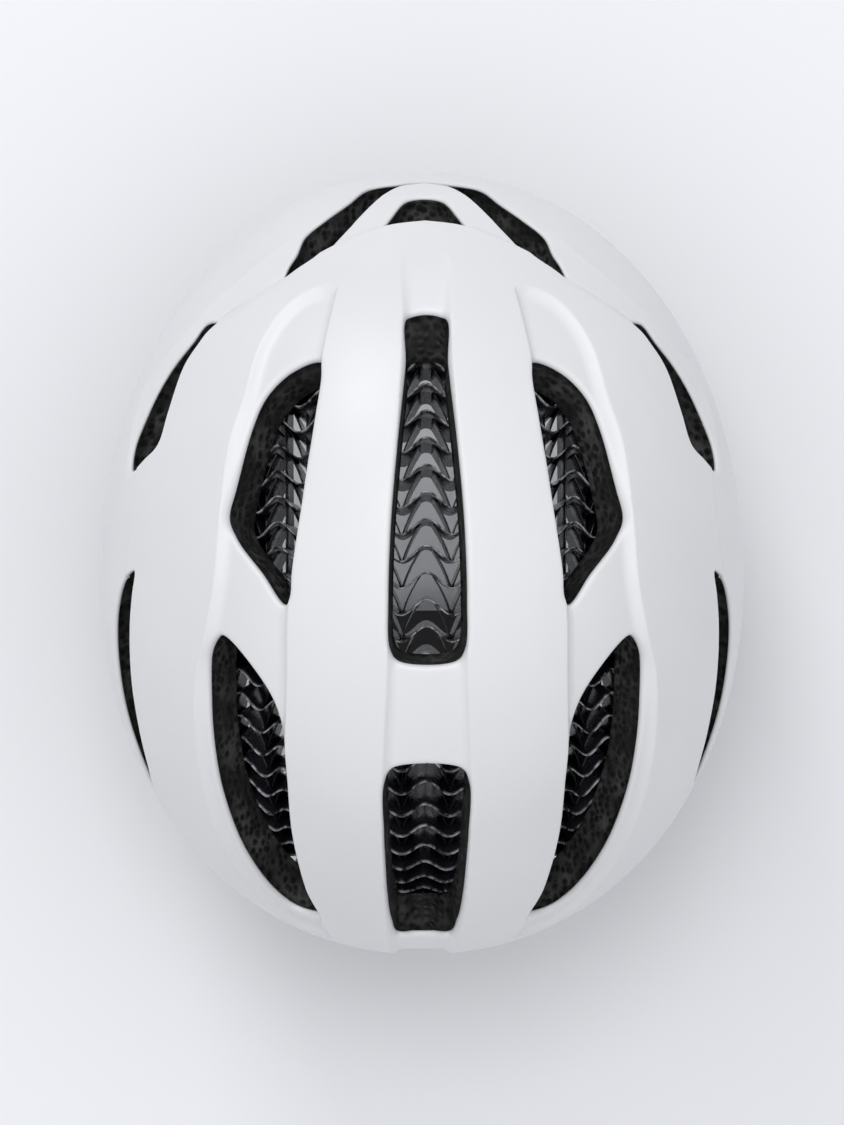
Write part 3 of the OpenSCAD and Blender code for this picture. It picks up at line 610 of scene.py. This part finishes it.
def make_foam():
    rim = RIM_LOOP * 0.996
    points, edges = map_points(VENT_LOOPS + [rim], [], (1.2, 2.6), 1.9, 4.2)
    uv, tris = triangulate(points, edges)
    middle = uv[tris].mean(1)
    solid = inside(middle, rim) & (middle[:, 0] > 0)
    for loop in VENT_LOOPS:
        solid &= ~inside(middle, loop)
    map_uv, faces = both_halves(uv, tris[solid])
    top = 1.9 - relief(map_uv)
    edges = rim_edges(faces)
    # the vents' walls start a little behind the white lips and are 5 rows deep, with a rounded foot
    shares = (0.0, 0.3, 0.6, 0.85, 1.0)
    ring = np.unique(edges)
    outer = lift(map_uv, top)
    count = len(map_uv)
    points, quads = [outer], []
    place = {int(r): i for i, r in enumerate(ring)}
    along = map_uv[edges[:, 1]] - map_uv[edges[:, 0]]
    inward = np.stack([-along[:, 1], along[:, 0]], 1)
    inward /= np.maximum(np.linalg.norm(inward, axis=1), 1e-9)[:, None]
    mean = np.zeros((len(ring), 2))
    for k in (0, 1):
        np.add.at(mean, [place[int(i)] for i in edges[:, k]], inward)
    mean /= np.maximum(np.linalg.norm(mean, axis=1), 1e-9)[:, None]
    rear_wall = (np.abs(map_uv[ring, 0]) < 6) & (map_uv[ring, 1] > 34) & (map_uv[ring, 1] < 46)
    lean = np.zeros((len(ring), 2))
    lean[rear_wall, 1] = 3.4 * np.clip((map_uv[ring, 1][rear_wall] - 36) / 5, 0, 1)
    for share in shares:
        tuck = 0.3 + 0.9 * max(0.0, share - 0.85) / 0.15
        at = top[ring] + (FOAM_IN - 0.9 - top[ring]) * share
        points.append(lift(map_uv[ring] + mean * tuck / 2 - share * lean, at))
    for a, b in edges:
        i, j = place[int(a)], place[int(b)]
        upper = (int(a), int(b))
        for k in range(len(shares)):
            lower = (count + k * len(ring) + i, count + k * len(ring) + j)
            quads.append((upper[1], upper[0], lower[0], lower[1]))
            upper = lower
    inner_start = count + len(shares) * len(ring)
    inner_uv = map_uv.copy()
    inner_uv[ring] -= lean
    points.append(lift(inner_uv, FOAM_IN))
    last = count + (len(shares) - 1) * len(ring)
    for a, b in edges:
        i, j = place[int(a)], place[int(b)]
        quads.append((last + j, last + i, inner_start + int(a), inner_start + int(b)))
    inner = (faces[:, ::-1] + inner_start).tolist()
    obj = build("foam_body", np.vstack(points), faces.tolist() + quads + inner, "helmet", FOAM)
    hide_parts("foam_liner")


# --- Wave-cell liner ---

WAVE_ROW, WAVE_PERIOD, WAVE_SWING = 5.1, 9.9, 1.5
WALL_HALF = 0.3


def strip(line, profile):
    """A thin upright wall of the liner along a line of the map; profile is (side offset, depth)."""
    n = normals_of(line)
    rings = [lift(line + n * side / 1.7, depth) for side, depth in profile]
    count, k = len(line), len(profile)
    points = np.stack(rings, 1).reshape(-1, 3)
    faces = [(i * k + j, i * k + (j + 1) % k, (i + 1) * k + (j + 1) % k, (i + 1) * k + j)
             for i in range(count - 1) for j in range(k)]
    return points, faces + [tuple(range(k))[::-1], tuple((count - 1) * k + j for j in range(k))]


def runs(line, loop):
    """The unbroken lengths of a line that lie inside a loop."""
    held = inside(line, loop)
    start = None
    for i, h in enumerate(list(held) + [False]):
        if h and start is None:
            start = i
        elif not h and start is not None:
            if i - start > 3:
                yield line[start:i]
            start = None


def make_wave_liner():
    upright = [(-WALL_HALF, WAVE_OUT + 1.1), (-WALL_HALF, WAVE_OUT + 0.5), (-0.15, WAVE_OUT + 0.1),
               (0.15, WAVE_OUT + 0.1), (WALL_HALF, WAVE_OUT + 0.5), (WALL_HALF, WAVE_OUT + 1.1),
               (WALL_HALF, WAVE_IN - 0.3), (-WALL_HALF, WAVE_IN - 0.3)]
    crest_highlight_weights = []
    strut = [(side * 0.8, depth + (3.2 if depth < 20 else 0)) for side, depth in upright]
    # web: profile of the dark sheets that stand in for the shade in the flank cells
    web = [(side, depth + (5.5 if depth < 20 else 0)) for side, depth in upright]
    points, faces, base = [], [], 0

    def add(line, profile):
        nonlocal base
        p, f = strip(line, profile)
        points.append(p)
        # crest weights place the painted highlight on the upright walls' top edges
        crest_highlight_weights.extend(([0, 0.7, 1, 1, 0.7, 0, 0, 0] if profile is upright else [0] * 8) * len(line))
        faces.extend(tuple(base + i for i in q) for q in f)
        base += len(p)

    us = np.arange(-84, 84.01, 0.45)
    for row in range(-17, 16):
        crest = row * WAVE_ROW + 1.0
        wave = crest + WAVE_SWING * (np.cos(2 * math.pi * us / WAVE_PERIOD) - 1)
        for line in runs(np.stack([us, wave], 1), WAVE_LOOP):
            add(line, upright)
        for peak in range(-8, 9):
            for side in (-1, 1):
                u = peak * WAVE_PERIOD
                foot = crest - WAVE_ROW - 2 * WAVE_SWING
                start = crest + WAVE_SWING * (math.cos(2 * math.pi * 1.1 / WAVE_PERIOD) - 1)
                t = np.linspace(0, 1, 9)[:, None]
                line = np.array([u + side * 1.1, start]) * (1 - t) + np.array(
                    [u + side * (WAVE_PERIOD / 2 - 0.15), foot + 0.1]) * t
                line[:, 0] += side * 0.35 * np.sin(t[:, 0] * math.pi)
                if inside(line, WAVE_LOOP).all():
                    add(line, strut)
            # low webs that close the cells' lower halves on the liner's flanks: dark sheets that stand in for
            # the shade seen through the side vents
            for u, v in ((peak * WAVE_PERIOD, crest), ((peak + 0.5) * WAVE_PERIOD, crest - 2 * WAVE_SWING)):
                line = np.array([u, v]) - np.linspace(0, WAVE_ROW, 5)[:, None] * [0, 1]
                if abs(u) > 13 and inside(line, WAVE_LOOP).all():
                    add(line, web)
    obj = build("wave_cells", np.vstack(points), faces, "helmet", WAVE)
    crest_highlight_attribute = obj.data.attributes.new("crest", "FLOAT", "POINT")
    crest_highlight_attribute.data.foreach_set("value", np.array(crest_highlight_weights, np.float32))
    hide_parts("wave_liner")


make_shells()
make_foam()
make_wave_liner()

# --- Pads ---

NAPE_R = 79.85  # outer face of the nape pad, about the fit belt's axis
FIT_SLOPE = -20  # tilt of the fit belt, degrees


def padding(name, loop, place, out, thick, step, nodes, body, seams=()):
    """A sewn pad: a flat edge band, a crowned face towards the head and pressed seams.
    place turns the outline's own points and depths towards the head into positions."""
    outline = curve(loop, step, True)
    count = len(outline)
    low, high = outline.min(0), outline.max(0)
    us, vs = np.meshgrid(np.arange(low[0], high[0], step), np.arange(low[1], high[1], step))
    us[::2] += step / 2
    cloud = np.stack([us.ravel(), vs.ravel()], 1)
    tree = KDTree(count)
    for i, p in enumerate(outline):
        tree.insert((*p, 0), i)
    tree.balance()
    far = np.array([tree.find((*p, 0))[2] for p in cloud])
    cloud = cloud[inside(cloud, outline) & (far > 0.8 * step)]
    points = outline.tolist() + cloud.tolist()
    uv, tris = triangulate(points, [(i, (i + 1) % count) for i in range(count)])
    tris = tris[inside(uv[tris].mean(1), outline)]
    scale = np.linalg.norm(place(np.array([low]), np.array([out])) - place(
        np.array([low + [0.1, 0]]), np.array([out]))) / 0.1
    distance = np.array([tree.find((*p, 0))[2] for p in uv]) * scale
    band = 1.6
    crown = np.sqrt(1 - (1 - np.clip((distance - band) / 7, 0, 1)) ** 2)
    height = 0.9 + (thick - 0.9) * crown
    for a, b in seams:
        a, b = np.array(a, float), np.array(b, float)
        t = np.clip(((uv - a) @ (b - a)) / ((b - a) @ (b - a)), 0, 1)
        gap = np.linalg.norm(uv - (a + t[:, None] * (b - a)), axis=1) * scale
        height -= (thick - 1.6) * np.exp(-(gap / 1.5) ** 2) * crown
    face, back = place(uv, np.full(len(uv), out) + height), place(uv, np.full(len(uv), out))
    n = len(uv)
    rim = rim_edges(tris)
    faces = tris.tolist() + (tris[:, ::-1] + n).tolist() + [(b, a, a + n, b + n) for a, b in rim]
    obj = build(name, np.vstack([back, face]), faces, body, CLOTH)
    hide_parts(*nodes)
    return obj


def rounded(u0, v0, u1, v1, r):
    """Outline of a rounded rectangle."""
    points = []
    corners = ((u1 - r, v1 - r), (u0 + r, v1 - r), (u0 + r, v0 + r), (u1 - r, v0 + r))
    for (cu, cv), a in zip(corners, (0, 90, 180, 270)):
        points += [(cu + r * math.cos(math.radians(a + b)), cv + r * math.sin(math.radians(a + b)))
                   for b in (0, 30, 60, 90)]
    return points


def make_pads():
    for name, side in (("left", 1), ("right", -1)):
        def flat(points):
            return [(side * u, v) for u, v in points][::side]
        padding(f"side_cushion_{name}", flat(rounded(34, -24, 50, 30, 5)), lift, PAD_OUT, PAD_IN - PAD_OUT,
                1.1, [f"side_pad_{name}"], "helmet", [((side * 42, -15), (side * 42, 21))])
        padding(f"crown_cushion_{name}", flat(rounded(9, -26, 17.5, 28, 4)), lift, PAD_OUT,
                PAD_IN - PAD_OUT, 1.1, ["crown_pads"], "helmet")
        padding(f"rear_cushion_{name}", flat(rounded(16, 36, 30, 54, 5)), lift, PAD_OUT, PAD_IN - PAD_OUT,
                1.1, ["rear_pads"], "helmet")

    def brow(points, depth):
        a, t = np.radians(-points[:, 0]), points[:, 1]
        return lift(np.stack([t * np.cos(a), t * np.sin(a)], 1), depth)
    padding("brow_cushion", rounded(35, 62, 145, 77, 5), brow, PAD_OUT, PAD_IN - PAD_OUT, 1.1, ["brow_pad"],
            "helmet", [((a, 64), (a, 75)) for a in (50, 70, 90, 110, 130)])

    def nape(points, depth):
        r, a = NAPE_R - depth, points[:, 0] / NAPE_R
        x, y, z = -r * np.sin(a), r * np.cos(a), points[:, 1]
        c, s = math.cos(math.radians(FIT_SLOPE)), math.sin(math.radians(FIT_SLOPE))
        return np.stack([x, 8 + y * c - z * s, -10 + y * s + z * c], 1)
    padding("nape_cushion", rounded(-30.6, -10, 30.6, 10, 5), nape, 0, 3.85, 1.5, ["nape_pad"], "cradle",
            [((side * 12, -6), (side * 12, 6)) for side in (-1, 1)])

    def chin(points, depth):
        rise = np.interp(points[:, 0], (-36, -30, -22, -13), (-112, -113, -113.5, -113.5))
        return np.stack([points[:, 0], -30 - points[:, 1], rise - 1.3 + depth], 1)
    padding("chin_cushion", rounded(-36, -11, -13, 11, 4.5), chin, 0, 2.6, 1.2, ["chin_pad"], "helmet")


make_pads()

# --- Straps ---

WEB_W, WEB_T = 15.0, 1.4


def unit(v):
    return v / np.linalg.norm(v)


def ribbon(name, route, outward, width, thick, body, node, side=1):
    """Webbing along a route, with rounded selvedges and UVs in millimetres; side is -1 for the right."""
    p = curve(route, 1.5)
    n = len(p)
    half, edge = width / 2, thick / 2
    profile = [(-half, 0), (-half + 0.25, -edge * 0.8), (-half + 0.9, -edge), (-half / 2, -edge), (0, -edge),
               (half / 2, -edge), (half - 0.9, -edge), (half - 0.25, -edge * 0.8), (half, 0)]
    profile += [(x, -y) for x, y in profile[-2:0:-1]]
    k = len(profile)
    points, length = [], [0.0]
    for i in range(n):
        along = unit(p[min(i + 1, n - 1)] - p[max(i - 1, 0)])
        across = unit(np.cross(along, outward(p[i])))
        face = np.cross(across, along)
        points += [p[i] + across * x + face * y for x, y in profile]
        if i:
            length.append(length[-1] + np.linalg.norm(p[i] - p[i - 1]))
    points = np.array(points) * [side, 1, 1]
    faces = [(i * k + j, (i + 1) * k + j, (i + 1) * k + (j + 1) % k, i * k + (j + 1) % k)
             for i in range(n - 1) for j in range(k)]
    faces += [tuple(range(k)), tuple((n - 1) * k + j for j in range(k))[::-1]]
    if side < 0:
        faces = [f[::-1] for f in faces]
    obj = build(name, points, faces, body, WEBBING)
    layer_uv = obj.data.uv_layers.new(name="UVMap")
    index = np.zeros(len(obj.data.loops), int)
    obj.data.loops.foreach_get("vertex_index", index)
    across = np.array([x for x, _ in profile])
    coords = np.stack([np.array(length)[index // k], across[index % k]], 1)
    layer_uv.data.foreach_set("uv", coords.astype(np.float32).ravel())
    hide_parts(node)
    return obj


def chin_route(end):
    start, run = np.array([73.5, -14, -77.25]), np.array([-10.5, -7, -19.25])
    return [start + t * run for t in (-0.25, 0.3, 1)] + [
        (54, -26, -108), (44, -29.3, -114), (min(end + 6, 38), -30, -116), (end, -30, -116)]


def make_straps():
    front = [(80.5, -51, -10), (80.5, -45, -20), (78.5, -32, -38), (76, -19, -53.5)]
    rear = [(75.5, 58.5, -14), (79, 50, -24), (80.5, 25, -41), (76, 0, -53.5)]

    def sideways(_):
        return np.array([1, 0.1, 0])

    def from_jaw(q):
        return unit(np.array([abs(q[0]) + 12, 0, q[2] + 80]))
    for name, side in (("left", 1), ("right", -1)):
        ribbon(f"front_web_{name}", front, sideways, WEB_W - 2, WEB_T, "helmet", f"strap_front_{name}", side)
        ribbon(f"rear_web_{name}", rear, sideways, WEB_W - 2, WEB_T, "helmet", f"strap_rear_{name}", side)
    ribbon("chin_web_right", chin_route(10.5), from_jaw, WEB_W, WEB_T, "helmet", "chin_strap_right", -1)
    web = ribbon("chin_web_left", chin_route(34.5), from_jaw, WEB_W, WEB_T, None, "chin_strap_left", 1)
    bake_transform(web)


make_straps()

# --- Materials of the hard parts ---

SLOT_MATERIALS = {"hard_plastic": PLASTIC, "grip_rubber": RUBBER, "spring_steel": STEEL,
                  "pad_fabric": CLOTH, "webbing": WEBBING}
for part in frame["record"]["subparts"]:
    node = frame["nodes"][part["node"]]
    if not node.hide_render and part["material_slot"] in SLOT_MATERIALS:
        node.data.materials.clear()
        node.data.materials.append(SLOT_MATERIALS[part["material_slot"]])

# --- Floor, lights and camera ---


def make_stage():
    lo, _ = cad_box
    bpy.ops.mesh.primitive_plane_add(size=80, location=(0, 0, lo.z - 0.0005))
    floor = bpy.context.object
    floor.name = "floor"
    m = Nodes("floor")
    m.set(Base_Color=(0.94, 0.95, 0.975), Roughness=0.9)
    floor.data.materials.append(m.material)
    world = bpy.data.worlds.new("studio")
    bpy.context.scene.world = world
    world.use_nodes = True
    tree = world.node_tree
    back = tree.nodes["Background"]
    place = tree.nodes.new("ShaderNodeTexCoord")
    split = tree.nodes.new("ShaderNodeSeparateXYZ")
    sky = tree.nodes.new("ShaderNodeValToRGB")
    tree.links.new(place.outputs["Generated"], split.inputs[0])
    tree.links.new(split.outputs["Z"], sky.inputs[0])
    tree.links.new(sky.outputs["Color"], back.inputs["Color"])
    sky.color_ramp.elements[0].color = (0.2, 0.205, 0.22, 1)
    sky.color_ramp.elements[0].position = 0.3
    sky.color_ramp.elements[1].color = (0.97, 0.98, 1.0, 1)
    sky.color_ramp.elements[1].position = 0.75
    back.inputs["Strength"].default_value = 0.96
    for name, at, size, power in (("key", (-0.7, 1.7, 1.6), 0.6, 9), ("top", (-0.15, 0.5, 2.3), 0.7, 9)):
        light = bpy.data.lights.new(name, "AREA")
        light.size, light.energy = size, power
        obj = bpy.data.objects.new(name, light)
        obj.location = at
        obj.rotation_euler = (-Vector(at)).to_track_quat("-Z", "Y").to_euler()
        bpy.context.scene.collection.objects.link(obj)


def make_camera():
    camera = bpy.data.cameras.new("camera")
    camera.lens, camera.sensor_width = 147, 36
    obj = bpy.data.objects.new("camera", camera)
    obj.location = (-0.0257, 0, 1.6)
    obj.rotation_euler = (0, -math.atan2(0.0257, 1.588), 0)
    bpy.context.scene.collection.objects.link(obj)
    bpy.context.scene.camera = obj


make_stage()
make_camera()
bpy.context.scene.view_settings.view_transform = "Standard"
